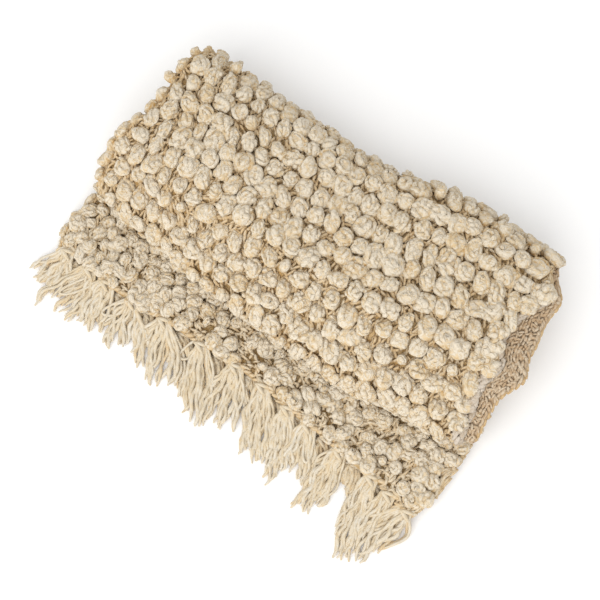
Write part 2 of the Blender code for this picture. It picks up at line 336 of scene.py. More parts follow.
class Yarns:
    """Closed tubes or eggs that go into one mesh, kept as arrays until the piece is made. Each vertex has its
    lightness, which holds painted shade as well as the yarn's own tone, and each face corner its place on the
    yarn, in metres along and turns around."""

    def __init__(self):
        self.points, self.faces, self.corners, self.light = [], [[], []], [[], []], []
        self.count = 0

    def add(self, rings, ends, along, light):
        """rings is (yarns, length, around, 3), ends the two end points (yarns, 2, 3), along the yarn's
        own distance at each ring (yarns, length), and light (yarns, length, around) or less."""
        yarns, length, around = rings.shape[:3]
        size = length * around + 2
        light = np.broadcast_to(light, (yarns, length, around)).reshape(yarns, -1)
        points = np.concatenate([rings.reshape(yarns, -1, 3), ends], axis=1)
        points[..., 2] = np.maximum(points[..., 2], ON_FLOOR)
        self.points.append(points.reshape(-1, 3))
        self.light.append(np.concatenate([light, light[:, :1], light[:, -1:]], axis=1).ravel())
        first = self.count + size * np.arange(yarns)[:, None, None, None]
        ring, spoke = np.meshgrid(np.arange(length - 1), np.arange(around), indexing="ij")
        following = (spoke + 1) % around
        quad = [ring * around + spoke, (ring + 1) * around + spoke]
        quad += [(ring + 1) * around + following, ring * around + following]
        self.faces[0].append((first + np.stack(quad, axis=-1)[None]).reshape(-1, 4))
        turn = np.stack([spoke, spoke, spoke + 1, spoke + 1], axis=-1) / around
        travel = along[:, np.stack([ring, ring + 1, ring + 1, ring], axis=-1)]
        turn = np.broadcast_to(turn, travel.shape)
        self.corners[0].append(np.stack([travel, turn], axis=-1).reshape(-1, 2))
        spoke = np.arange(around)
        following = (spoke + 1) % around
        last = (length - 1) * around
        start = np.stack([0 * spoke + size - 2, spoke, following], axis=-1)
        stop = np.stack([0 * spoke + size - 1, last + following, last + spoke], axis=-1)
        first = self.count + size * np.arange(yarns)[:, None, None]
        for fan, ring in ((start, 0), (stop, length - 1)):
            self.faces[1].append((first + fan[None]).reshape(-1, 3))
            turn = np.broadcast_to(np.stack([spoke + 0.5, spoke, spoke + 1], -1) / around, (yarns, around, 3))
            travel = np.broadcast_to(along[:, ring, None, None], turn.shape)
            self.corners[1].append(np.stack([travel, turn], axis=-1).reshape(-1, 2))
        self.count += size * yarns

    def make(self, name, material):
        """One object with all the yarns, shaded smooth."""
        points = np.concatenate(self.points)
        quads, fans = (np.concatenate(faces) for faces in self.faces)
        corners = np.concatenate([np.concatenate(part) for part in self.corners])
        light = np.concatenate(self.light)
        return add_piece(name, points, [quads, fans], corners, light, [material])


def add_piece(name, points, faces, corners, light, materials, slots=None):
    """A mesh object from whole arrays: quads and triangles, the corners' UV, the points' lightness."""
    mesh = bpy.data.meshes.new(name)
    sizes = np.concatenate([np.full(len(part), part.shape[1]) for part in faces])
    index = np.concatenate([part.ravel() for part in faces])
    mesh.vertices.add(len(points))
    mesh.vertices.foreach_set("co", points.ravel())
    mesh.loops.add(len(index))
    mesh.loops.foreach_set("vertex_index", index)
    mesh.polygons.add(len(sizes))
    mesh.polygons.foreach_set("loop_start", np.concatenate([[0], np.cumsum(sizes)[:-1]]))
    mesh.polygons.foreach_set("loop_total", sizes)
    mesh.polygons.foreach_set("use_smooth", np.ones(len(sizes), bool))
    if slots is not None:
        mesh.polygons.foreach_set("material_index", slots)
    mesh.uv_layers.new(name="yarn").data.foreach_set("uv", corners.ravel())
    mesh.attributes.new("light", "FLOAT", "POINT").data.foreach_set("value", light)
    for material in materials:
        mesh.materials.append(material)
    mesh.update()
    mesh.validate()
    piece = bpy.data.objects.new(name, mesh)
    bpy.context.scene.collection.objects.link(piece)
    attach(piece, BODY)
    return piece


CAP = 0.55  # how far a tube's end stands out, as a share of its radius
YARN_START = (0.1, 0.07)  # each tube's own start on its yarn, so that no two neighbours look alike


def tubes(yarns, lines, radius, up, light, around=5, flat=1.0, shaded=0.10):
    """Closed round-ended tubes on centre lines (yarns, length, 3). Each ring stands across its line, with
    radius (yarns, length) sideways and flat times that along up, and light (yarns, length) fades by shaded
    from its top to its sides, and by twice that on its underside: painted shade."""
    tangent = unit(np.gradient(lines, axis=1))
    side = unit(np.cross(tangent, up))
    rise = np.cross(side, tangent)
    turn = 2 * np.pi * np.arange(around) / around + np.pi / 2
    width = radius[..., None, None]
    rings = lines[:, :, None] + width * np.cos(turn)[:, None] * side[:, :, None]
    rings = rings + width * flat * np.sin(turn)[:, None] * rise[:, :, None]
    cap = CAP * radius[:, [0, -1], None]
    ends = lines[:, [0, -1]] + np.array([-1.0, 1.0])[:, None] * cap * tangent[:, [0, -1]]
    travel = np.linalg.norm(np.diff(lines, axis=1), axis=-1)
    along = np.concatenate([np.zeros((len(lines), 1)), np.cumsum(travel, axis=1)], axis=1)
    along = along + YARN_START[0] * np.arange(len(lines))[:, None] % YARN_START[1]
    # painted shade: each ring is darker on its sides and darkest underneath
    light = light[..., None] - shaded * (1.0 - np.sin(turn[::-1]))
    yarns.add(rings[:, :, ::-1], ends, along, light)


def laid(yarns, s, u, off, radius, light, outwards=0.002, **form):
    """Tubes laid on the cloth along lines of s, u and off, with the way outwards as their up."""
    lines = place(s, u, off)
    tubes(yarns, lines, radius, unit(place(s, u, off + outwards) - lines), light, **form)


# Materials ----------------------------------------------------------------------------------------


FIBRE_TUFT = 0.0032  # tufts of fibre, drawn a little coarse so that they show
YARN_PATCH = 0.0180  # paler and darker lengths of yarn
CURL = 0.0110  # curls of the yarn in a bobble
CURL_BANDS = 4.2  # lines of fibre in a curl
PLIES = 2.0  # plies in a yarn
SHEEN_TINT = "#FFF4E2"

# All six are one undyed cream wool. The deep colour shows where the tone is low, mostly as painted shade in
# hollows and on the yarns' sides; the ground, hollow, reverse and edge wools are darker, greyer copies for
# parts that lie in shade: painted shade.
WOOLS = {
    # deep, middle and high colours, ply pitch, relief, sheen, crimp
    "bobble_wool": ("#B48D54", "#CBB693", "#D3C8B5", 0.0040, 0.0019, 0.2, 1.0),
    "ground_wool": ("#A37D49", "#C6AD86", "#D1C4AD", 0.0036, 0.0018, 0.2, 0.3),
    # the sheet's bobble side, seen only in the gaps under the stitches: a dark copy for painted shade
    "ground_hollow_painted_shade": ("#957143", "#B2915F", "#C4A97E", 0.0040, 0.0020, 0.0, 1.0),
    "reverse_wool": ("#906C46", "#B59C7D", "#C5B6A0", 0.0036, 0.0016, 0.2, 0.5),
    "edge_wool": ("#7D6749", "#AF9F8A", "#C3B8AA", 0.0036, 0.0018, 0.2, 0.6),
    "fringe_wool": ("#CFA56A", "#CBBA9C", "#D0C9BB", 0.0075, 0.0018, 0.3, 0.2),
}
TONE_STOPS = (0.23, 0.62, 0.90)  # the tones that show the deep, middle and high colours


def linear(text):
    """An sRGB hex colour as linear values, with alpha 1."""
    channels = [int(text[i : i + 2], 16) / 255 for i in (1, 3, 5)]
    return [c / 12.92 if c <= 0.04045 else ((c + 0.055) / 1.055) ** 2.4 for c in channels] + [1.0]


def add_node(tree, kind, links=None, **settings):
    """Adds a node. links holds a value or another socket for each input, by name or number; settings
    are the node's own."""
    node = tree.nodes.new(kind)
    for key, value in settings.items():
        setattr(node, key, value)
    for key, value in (links or {}).items():
        socket = node.inputs[key]
        if isinstance(value, bpy.types.NodeSocket):
            tree.links.new(value, socket)
        else:
            socket.default_value = value
    return node


def wool_yarn(name, deep, middle, high, ply_pitch, relief, sheen, crimp):
    """Undyed wool, spun loosely and plied: matt, with a soft pale bloom at grazing angles. The eye sees
    slanting plies, a haze of fibres, curly creases, cream tops, and warm brown where the yarns go down
    between each other; that warm brown is painted shade, the deep colour where the piece's lightness is low.
    The tone is the piece's own lightness plus a share of each pattern, so the grooves of the plies and
    creases are darker too, in painted shade, while the patches and fibres are the yarn's own tone; the relief
    is the sum of plies, fibres and creases."""
    material = bpy.data.materials.new(name)
    material.use_nodes = True
    tree = material.node_tree
    tree.nodes.clear()
    place_on_yarn = add_node(tree, "ShaderNodeUVMap", uv_map="yarn")
    split = add_node(tree, "ShaderNodeSeparateXYZ", {0: place_on_yarn.outputs[0]})
    turns = add_node(tree, "ShaderNodeMath", {0: split.outputs[1], 1: PLIES}, operation="MULTIPLY")
    slant = add_node(
        tree, "ShaderNodeMath", {0: split.outputs[0], 1: 1.0 / ply_pitch, 2: turns.outputs[0]},
        operation="MULTIPLY_ADD")
    ply = add_node(tree, "ShaderNodeMath", {0: slant.outputs[0], 1: 1.0}, operation="PINGPONG")
    where = add_node(tree, "ShaderNodeTexCoord").outputs["Object"]
    fibres, patches, curls = (
        add_node(
            tree, "ShaderNodeTexNoise",
            {"Vector": where, "Scale": 1.0 / size, "Detail": detail, "Roughness": rough, "Distortion": bent})
        for size, detail, rough, bent in (
            (FIBRE_TUFT, 3.0, 0.6, 0.0), (YARN_PATCH, 3.0, 0.6, 0.0), (CURL, 1.0, 0.4, 2.2))
    )
    bands = add_node(
        tree, "ShaderNodeMath", {0: curls.outputs[0], 1: CURL_BANDS * math.pi}, operation="MULTIPLY")
    waves = add_node(tree, "ShaderNodeMath", {0: bands.outputs[0]}, operation="SINE")
    crimps = add_node(tree, "ShaderNodeMath", {0: waves.outputs[0], 1: 0.5, 2: 0.5}, operation="MULTIPLY_ADD")
    total = add_node(tree, "ShaderNodeAttribute", attribute_name="light").outputs["Fac"]
    # the ply and crease shares darken their grooves: painted shade; the patches and fibres are the yarn's own
    # tone
    for pattern, share in ((patches, 0.18), (fibres, 0.24), (ply, 0.10), (crimps, 0.30 * crimp)):
        total = add_node(
            tree, "ShaderNodeMath", {0: pattern.outputs[0], 1: share, 2: total},
            operation="MULTIPLY_ADD").outputs[0]
    shades = add_node(tree, "ShaderNodeValToRGB", {0: total})
    stops = shades.color_ramp.elements
    stops[0].position, stops[0].color = TONE_STOPS[0], linear(deep)
    stops[1].position, stops[1].color = TONE_STOPS[2], linear(high)
    stops.new(TONE_STOPS[1]).color = linear(middle)
    height = fibres.outputs[0]
    for pattern, share in ((ply, 0.80), (crimps, crimp)):
        height = add_node(
            tree, "ShaderNodeMath", {0: pattern.outputs[0], 1: share, 2: height},
            operation="MULTIPLY_ADD").outputs[0]
    bump = add_node(tree, "ShaderNodeBump", {"Strength": 0.55, "Distance": relief, "Height": height})
    shader = add_node(
        tree,
        "ShaderNodeBsdfPrincipled",
        {
            "Base Color": shades.outputs[0],
            "Roughness": 0.95,
            "IOR": 1.54,
            "Specular IOR Level": 0.1,
            "Sheen Weight": sheen,
            "Sheen Roughness": 0.5,
            "Sheen Tint": linear(SHEEN_TINT),
            "Normal": bump.outputs[0],
        },
    )
    add_node(tree, "ShaderNodeOutputMaterial", {0: shader.outputs[0]})
    return material


def plain_floor(colour):
    """White painted board: matt and even, so that it shows the soft shadow and nothing else."""
    material = bpy.data.materials.new("white_painted_board")
    material.use_nodes = True
    shader = material.node_tree.nodes["Principled BSDF"]
    shader.inputs["Base Color"].default_value = [*colour, 1.0]
    shader.inputs["Roughness"].default_value = 0.9
    shader.inputs["Specular IOR Level"].default_value = 0.1
    return material


def wool(name):
    """One of this throw's wools, made on first use."""
    return bpy.data.materials.get(name) or wool_yarn(name, *WOOLS[name])




# Sizes and looks that a user would change ---------------------------------------------------------


class ThrowKnit(bpy.types.PropertyGroup):
    bobble_pitch: bpy.props.FloatProperty(
        name="Bobble pitch", description="From bobble to bobble along a row",
        default=0.0264, unit="LENGTH", precision=4)
    row_pitch: bpy.props.FloatProperty(
        name="Row pitch", description="From one row of bobbles to the next",
        default=0.0278, unit="LENGTH", precision=4)
    bobble_length: bpy.props.FloatProperty(
        name="Bobble length", description="A bobble's longer side",
        default=0.0328, unit="LENGTH", precision=4)
    bobble_width: bpy.props.FloatProperty(
        name="Bobble width", description="A bobble's shorter side",
        default=0.0264, unit="LENGTH", precision=4)
    lean: bpy.props.FloatProperty(
        name="Bobble lean", description="How far the bobbles turn from the columns of the knit",
        default=math.radians(26), subtype="ANGLE")
    stitch_pitch: bpy.props.FloatProperty(
        name="Stitch pitch", description="Across the ground's columns of stitches",
        default=0.0050, unit="LENGTH", precision=4)
    stitch_thickness: bpy.props.FloatProperty(
        name="Stitch thickness", description="The yarn in the ground's stitches",
        default=0.0048, unit="LENGTH", precision=4)


class ThrowFringe(bpy.types.PropertyGroup):
    yarns: bpy.props.IntProperty(
        name="Yarns in a tassel", description="Yarn ends in each tassel", default=23)
    thickness: bpy.props.FloatProperty(
        name="Yarn thickness", description="The fringe's yarn",
        default=0.0052, unit="LENGTH", precision=4)


class ThrowStage(bpy.types.PropertyGroup):
    azimuth: bpy.props.FloatProperty(
        name="Azimuth", description="The camera's way round", default=math.radians(35), subtype="ANGLE")
    elevation: bpy.props.FloatProperty(
        name="Elevation", description="The camera's height angle", default=math.radians(74), subtype="ANGLE")
    distance: bpy.props.FloatProperty(
        name="Distance", description="From the camera to the throw", default=1.9, unit="LENGTH")
    focal: bpy.props.FloatProperty(
        name="Focal length", description="On a sensor 36 mm wide", default=83.2)
    floor_colour: bpy.props.FloatVectorProperty(
        name="Floor colour", description="The painted board", subtype="COLOR", size=3,
        default=(0.90, 0.90, 0.90))
    key_strength: bpy.props.FloatProperty(
        name="Key light", description="The large soft light, in watts", default=64.0)
    sky_strength: bpy.props.FloatProperty(
        name="Sky light", description="The even light from all round", default=0.95)


# The pieces ---------------------------------------------------------------------------------------


SHEET_SIDES = (0.0032, 0.0012)  # how far out the sheet's bobble side and its reverse lie
SHEET_POINTS = (150, 124)  # along the path and across it
# the sheet's lightness is set low: painted shade in the gaps where it shows
SHEET_LIGHT = 0.35


def sheet_piece():
    """The knitted sheet itself, two grids 2 mm apart on the fold, joined round all their edges. It shows only
    in the gaps between the stitches, so it is dark: the hollow wool on its bobble side and a low lightness on
    both sides, painted shade.
    """
    s = np.linspace(0.0, PATH_LENGTH, SHEET_POINTS[0])[:, None]
    share = np.linspace(-1.0, 1.0, SHEET_POINTS[1])[None]
    u = share * sheet_edge(s, share)
    outer, inner = (place(s, u, off) for off in SHEET_SIDES)
    rows, columns = outer.shape[:2]
    number = np.arange(rows * columns).reshape(rows, columns)
    quads = np.stack([number[:-1, :-1], number[1:, :-1], number[1:, 1:], number[:-1, 1:]], -1).reshape(-1, 4)
    count = rows * columns
    rims = []
    for rim, turned in ((number[0], 0), (number[-1], 1), (number[:, 0], 1), (number[:, -1], 0)):
        wall = np.stack([rim[:-1], rim[1:], rim[1:] + count, rim[:-1] + count], axis=1)
        rims.append(wall[:, ::-1] if turned else wall)
    rims = np.concatenate(rims)
    faces = np.concatenate([quads, quads[:, ::-1] + count, rims])
    points = np.concatenate([outer.reshape(-1, 3), inner.reshape(-1, 3)])
    flat = np.tile(np.stack(np.broadcast_arrays(s, u), axis=-1).reshape(-1, 2), (2, 1))
    slots = np.repeat([0, 1], [len(quads), len(quads) + len(rims)])
    materials = [wool("ground_hollow_painted_shade"), wool("reverse_wool")]
    light = np.full(len(points), SHEET_LIGHT)
    return add_piece("knitted_sheet", points, [faces], flat[faces].reshape(-1, 2), light, materials, slots)


ROW_LINE = 0.30  # how far from the doubling fold the rows of the knit are spaced
FAR = 9.0  # farther than any two points of the cloth


def row_distances(pitch, side, off):
    """Distances along the path at which rows of the given pitch stand, measured that far out on the face
    sheet's outer side where side is -1, on the lining's where it is 1, and on the doubling fold at 0."""
    s = np.linspace(0.0, PATH_LENGTH, 4000)
    steps = np.linalg.norm(np.diff(place(s, side * ROW_LINE, off), axis=0), axis=-1)
    travelled = np.concatenate([[0.0], np.cumsum(steps)])
    return np.interp(np.arange(pitch / 2, travelled[-1], pitch), travelled, s)


def stretch(s, u):
    """How much longer the cloth's surface is than the path there, along it."""
    step, off = 0.003, 0.004
    return np.linalg.norm(place(s + step, u, off) - place(s - step, u, off), axis=-1) / (2 * step)


def thinned(s, u, fullest, rng):
    """True for points to keep, so that rows which are closest together where the cloth is stretched most
    become as far apart as the rest: where the stretch is as great as fullest, all are kept."""
    return rng.random(len(s)) < stretch(s, u) / fullest


def kept_apart(s, u, least):
    """Moves points that stand closer than their least distance away from each other: in each of a few
    rounds, each goes half of what is missing, away from every neighbour that is too close."""
    longer = np.clip(stretch(s, u), 0.6, 2.0)
    for _ in range(18):
        gap_s, gap_u = s[:, None] - s[None], u[:, None] - u[None]
        distance = np.hypot(gap_s * longer, gap_u) + FAR * np.eye(len(s))
        push = 0.5 * np.maximum(least[:, None] - distance, 0.0) / distance
        s, u = s + (push * gap_s).sum(axis=1), u + (push * gap_u).sum(axis=1)
    return s, u


def on_both_sheets(pitch, off, strip_end, lattice):
    """A lattice's points on the face sheet, whose rows are a pitch apart at the height off, and on the
    part of the lining that lies behind the strip."""
    s, u = lattice(row_distances(pitch, -1.0, off))
    s_lining, u_lining = lattice(row_distances(pitch, 1.0, 0.0))
    shown = s_lining > strip_end
    return [s, s_lining[shown]], [-u, u_lining[shown]]


def staggered(rows, pitch, first):
    """Points on the rows, a pitch apart, with every other row moved by half a pitch."""
    s, u = np.meshgrid(rows, np.arange(first, MOST_COLUMNS) * pitch, indexing="ij")
    return s.ravel(), (u + 0.5 * pitch * (np.arange(len(rows)) % 2)[:, None]).ravel()


STRIP_ROWS = 0.42  # the strip's rows before they are thinned, as a share of the row pitch
STRIP_FULLEST = 0.77 / STRIP_ROWS  # the stretch at which none of them would be left out
STRIP_PITCH = 0.77  # the pitch of the strip's bobbles, as a share of the bobble pitch
NOSE_PITCH = 0.92  # that of the column round the doubling fold, as a share of the row pitch
NOSE_ZIGZAG = 0.0045  # how far that column's bobbles lie to either side of the fold
BORDER_PITCH = 0.90  # that of the bobbles along the side edges, as a share of the bobble pitch
BORDER_INSET = 0.011  # how far in from the edge they stand
MOST_COLUMNS = 40.0  # more columns of bobbles than a sheet is wide
ROWS_OUT = 0.010  # how far out the face sheet's rows of bobbles are a pitch apart
ROW_WAVE, COLUMN_WAVE = 0.0035, 0.0040  # how far the rows and the columns wave
LOOSE = 0.0021  # how far a bobble strays from its place
SIDE_FOLD_SHOWN = 0.036  # how far the layers inside show their bobbles at the doubling fold
SIDE_EDGE_SHOWN = 0.040  # and at the side edges


def bobble_places(knit, rng):
    """The distances s and u of every bobble that any side of the throw shows: on each sheet a lattice
    with every other row moved by half a pitch, one column round the doubling fold, and in the strip a
    closer lattice that is thinned at random, all loosened by slow waves and at random."""
    s_all, u_all = on_both_sheets(
        knit.row_pitch, ROWS_OUT, STRIP_END, lambda rows: staggered(rows, knit.bobble_pitch, 0.85))
    s, u = staggered(
        np.arange(0.011, STRIP_END, STRIP_ROWS * knit.row_pitch), STRIP_PITCH * knit.bobble_pitch, 0.95)
    kept = thinned(s, u, STRIP_FULLEST, rng)
    nose = row_distances(NOSE_PITCH * knit.row_pitch, 0.0, 0.0)
    s_all += [s[kept], nose]
    u_all += [u[kept], NOSE_ZIGZAG * (-1.0) ** np.arange(len(nose))]
    for side, first, last in ((1.0, 0.012, STRIP_END), (-1.0, START["back fold"], START["second run"])):
        border = np.arange(first, last, BORDER_PITCH * knit.bobble_pitch)
        s_all.append(border)
        u_all.append(side * (sheet_edge(border, side) - BORDER_INSET))
    s, u = np.concatenate(s_all), np.concatenate(u_all)
    loose = np.where(np.abs(u) < 0.01, 0.4, 1.0)
    s = s + ROW_WAVE * np.sin(u * 31.0 + 2.0) + loose * rng.normal(0.0, LOOSE, len(s))
    u = u + loose * (COLUMN_WAVE * np.sin(s * 27.0) + rng.normal(0.0, LOOSE, len(u)))
    s = np.maximum(s, 0.008)
    edge = sheet_edge(s, u)
    outer = (u < 0) & (s < START["second run"] + 0.006)
    strip = (u > 0) & (s < STRIP_END)
    ends = (np.abs(u) < SIDE_FOLD_SHOWN) | (np.abs(u) > edge - SIDE_EDGE_SHOWN)
    kept = (outer | strip | ends) & (np.abs(u) < edge - 0.009) & (s < PATH_LENGTH - 0.006)
    s, u = s[kept], u[kept]
    s, u = kept_apart(s, u, knit.bobble_pitch * np.where(u > 0.01, STRIP_PITCH * 0.95, 0.97))
    u = np.clip(u, 0.008 - sheet_edge(s, -1.0), sheet_edge(s, 1.0) - 0.008)
    return np.maximum(s, 0.007), u


LINING_SIZE = (0.74, 0.86)  # the lining's bobbles, as shares of the face's length and width
TALL = (0.56, 1.55)  # how narrow and how high the few bobbles are that stand on end
TALL_SHARE = (0.12, 0.03)  # how many do, at the rims of the top and elsewhere
ROUNDEST = 0.62  # the least height of a bobble in the strip, as a share of its half width


def bobble_axes(knit, rng, s, u):
    """Each bobble's centre and its three directions scaled by its half sizes. The lining's bobbles are
    rounder and smaller than the face's, and none in the strip is flat."""
    loft = loft_at(s, u)
    centre, along, across, out, height = frames_at(s, u, np.full(len(s), 0.0020), loft + SHEET_GAP / 2)
    face = u < 0.006
    lean = np.where(face, knit.lean, 0.5 * knit.lean) + rng.normal(0.0, np.where(face, 0.20, 0.5), len(s))
    cos, sin = np.cos(lean)[:, None], np.sin(lean)[:, None]
    along, across = cos * along + sin * across, cos * across - sin * along
    size = np.clip(rng.normal(1.0, 0.15, (len(s), 3)), 0.72, 1.32)
    length = knit.bobble_length * np.where(face, 1.0, LINING_SIZE[0])
    width = knit.bobble_width * (0.90 + 0.20 * smooth(np.abs(u) / 0.50)) * np.where(face, 1.0, LINING_SIZE[1])
    half = np.stack([0.5 * length * size[:, 0], 0.5 * width * size[:, 1]], -1)
    rim = (np.abs(u) < 0.01) | (np.abs(s - 0.5 * (START["back fold"] + START["top run"])) < 0.05)
    tall = (rng.random(len(s)) < np.where(rim, *TALL_SHARE)) & (loft > 0.6 * PRESSED)
    half = half * np.where(tall, TALL[0], 1.0)[:, None]
    rise = 0.47 * height * np.clip(size[:, 2], 0.85, 1.10) * np.where(tall, TALL[1], 1.0)
    strip = (u > 0.01) & (s < STRIP_END)
    rise = np.where(strip, np.maximum(rise, ROUNDEST * half.mean(axis=1)), rise)
    centre = centre + out * (rise - 0.5 * height)[:, None]
    return centre, along * half[:, :1], across * half[:, 1:], out * rise[:, None]


LUMP = 0.058  # how far one wave draws a bobble in or out, as a share of its radius
LOW_SHADE = 0.30  # painted shade at a bobble's foot: how much darker it is than its top


def lumped(direction, lumps):
    """Unit directions, drawn in and out by three broad waves of each bobble's own, and widened towards
    the fuller end."""
    bumps = np.zeros(direction.shape[:-1])
    for wave, phase in lumps:
        phase = phase.reshape(-1, *[1] * (direction.ndim - 2))
        bumps += np.sin(np.einsum("i...k,ik->i...", direction, wave) + phase)
    fuller = 1.0 + 0.13 * direction[..., :1] * np.array([0.0, 1.0, 1.0])
    return direction * (1.0 + LUMP * bumps)[..., None] * fuller


def on_egg(egg, direction):
    """Points of eggs, each given by its half axes, tilt and lumps: directions (along, across, out), tipped
    about the across axis and made lumpy, times the axes."""
    axes, tilt, lumps = egg
    centre, along, across, out = (axis[:, None, None] for axis in axes)
    cos, sin = np.cos(tilt)[:, None, None], np.sin(tilt)[:, None, None]
    first = cos * direction[..., 0] - sin * direction[..., 2]
    third = sin * direction[..., 0] + cos * direction[..., 2]
    turned = lumped(np.stack([first, np.broadcast_to(direction[..., 1], first.shape), third], -1), lumps)
    return centre + turned[..., :1] * along + turned[..., 1:2] * across + turned[..., 2:] * out


def sunk_shade(points, axes):
    """The painted shade of a bobble's points: how much darker they are for lying low on it, not at all at its
    top.
    """
    shape = (-1, *[1] * (points.ndim - 2), 3)
    centre, out = axes[0].reshape(shape), axes[3].reshape(shape)
    high = np.sum((points - centre) * out, axis=-1) / np.sum(out**2, axis=-1)
    return LOW_SHADE * smooth((0.55 - high) / 1.10)


def bobble_cores(yarns, egg, light):
    """The bobbles' bodies: eggs of meridian ridges, radius 1 at a ridge and less between them, all drawn in
    so that the yarns over them stand out. They are darker low down: painted shade."""
    around, rings, inside = 10, 6, 0.90
    count = len(light)
    polar = np.pi * np.arange(1, rings + 1)[:, None] / (rings + 1)
    turn = 2 * np.pi * np.arange(around)[None] / around + 0.4 * np.cos(polar)
    ridge = 1.0 - 0.06 * (np.arange(around)[None] % 2)
    ring = np.sin(polar) ** 0.8 * ridge
    direction = np.stack([-np.cos(polar) + 0 * turn, ring * np.cos(turn), ring * np.sin(turn)], axis=-1)
    direction = np.broadcast_to(direction, (count, rings, around, 3)) * inside
    points = on_egg(egg, direction)
    poles = np.broadcast_to(np.array([[[-inside, 0, 0], [inside, 0, 0]]])[:, :, None], (count, 2, 1, 3))
    along = np.broadcast_to(0.03 * np.arange(rings) / rings, (count, rings))
    yarns.add(points, on_egg(egg, poles)[:, :, 0], along, light[:, None, None] - sunk_shade(points, egg[0]))


def wrap_yarns(yarns, rng, egg, light, direction, fullness):
    """Yarns bent over the bobbles along paths of unit directions (bobbles, steps, 3), more than half sunk in
    the body and thinner at their ends. They are darker towards their ends and low on the bobble: painted
    shade."""
    axes = egg[0]
    count, steps = direction.shape[:2]
    t = np.linspace(-1.0, 1.0, steps)[None]
    lift = 0.83 + rng.normal(0.0, 0.060, (count, 1, 1))
    lines = on_egg(egg, (lift * direction)[:, :, None])[:, :, 0]
    width = np.linalg.norm(axes[2], axis=-1)[:, None]
    radius = width * fullness * (1.0 - 0.35 * t**4) * rng.normal(1.0, 0.10, (count, 1))
    radius = radius * (1.0 + 0.10 * np.sin(9.0 * t + rng.uniform(0.0, 6.0, (count, 1))))
    up = unit(lines - axes[0][:, None])
    # painted shade: darker towards the yarn's ends and low on the bobble
    shade = light[:, None] + rng.normal(0.0, 0.03, (count, 1)) - 0.06 * t**4 - sunk_shade(lines, axes)
    tubes(yarns, lines, radius, up, shade, flat=0.80, shaded=0.13)


def bobble_wraps(yarns, rng, egg, light):
    """Four full yarns over each bobble that follow meridians of its own swirl."""
    count = len(light)
    for meridian in np.radians([-68.0, -23.0, 23.0, 68.0]):
        angle = meridian + rng.normal(0.0, 0.22, (count, 1))
        swirl = rng.normal(0.0, 0.50, (count, 1))
        middle = rng.normal(0.0, 0.35, (count, 1))
        t = middle + np.linspace(-1.0, 1.0, 6)[None] * rng.uniform(0.45, 1.05, (count, 1))
        azimuth = angle + swirl * t + 0.25 * np.sin(3.0 * t + angle * 5.0)
        direction = np.stack([np.sin(t), np.cos(t) * np.sin(azimuth), np.cos(t) * np.cos(azimuth)], -1)
        wrap_yarns(yarns, rng, egg, light, direction, 0.34)


def bobble_knots(yarns, rng, egg, light):
    """Eleven short fat bends of yarn all over each bobble, each turned its own way: their middles are
    spread by the golden angle over the part of the bobble that shows."""
    count, bends = len(light), 11
    golden = np.pi * (3.0 - np.sqrt(5.0))
    spin = rng.uniform(0.0, 2 * np.pi, (count, 1))
    for bend in range(bends):
        cone = np.arccos(1.0 - 1.10 * (bend + 0.4) / bends) + rng.normal(0.0, 0.08, (count, 1))
        turn = spin + golden * bend + rng.normal(0.0, 0.15, (count, 1))
        middle = np.stack([np.sin(cone) * np.cos(turn), np.sin(cone) * np.sin(turn), np.cos(cone)], -1)
        aside = unit(np.cross(middle, np.array([1.0, 0.0, 0.02])))
        forward = np.cross(aside, middle)
        course = rng.uniform(-1.2, 1.2, (count, 1, 1))
        heading = np.cos(course) * forward + np.sin(course) * aside
        sideways = np.cos(course) * aside - np.sin(course) * forward
        t = np.linspace(-1.0, 1.0, 5)[None, :, None] * rng.uniform(0.40, 0.72, (count, 1, 1))
        bow = rng.normal(0.0, 0.5, (count, 1, 1)) * t**2
        direction = unit(middle * np.cos(t) + heading * np.sin(t) + sideways * bow)
        wrap_yarns(yarns, rng, egg, light, direction, 0.30)


def bobble_curls(yarns, rng, egg, light):
    """A thick yarn that goes round the rim of each bobble in an open U, a shorter one across its
    mouth, and two that fill the middle: each an arc of a cone about the bobble's own top."""
    axes, tilt, lumps = egg
    count = len(light)
    lean = rng.uniform(-0.35, 0.35, (count, 2))
    top = unit(np.concatenate([lean, np.ones((count, 1))], axis=1))[:, None]
    first = unit(np.cross(top, np.array([0.0, 1.0, 0.0])))
    second = np.cross(top, first)
    begin = rng.uniform(0.0, 2 * np.pi, (count, 1))
    for angle, offset, sweep, fullness in (
        (0.86, 0.0, 4.2, 0.36), (1.30, 4.4, 1.8, 0.32), (1.40, 1.0, 2.4, 0.30), (0.30, 0.4, 2.4, 0.30),
    ):
        turn = begin + offset + rng.normal(0.0, 0.35, (count, 1)) + sweep * np.linspace(0.0, 1.0, 7)[None]
        cone = angle + rng.normal(0.0, 0.12, (count, 1)) + 0.18 * np.sin(turn * 2)
        cone, turn = cone[..., None], turn[..., None]
        direction = np.cos(cone) * top + np.sin(cone) * (np.cos(turn) * first + np.sin(turn) * second)
        wrap_yarns(yarns, rng, (axes, 0.0 * tilt, lumps), light, direction, fullness)


KINDS = {bobble_wraps: 0.24, bobble_knots: 0.50, bobble_curls: 0.26}  # and how many are of each kind


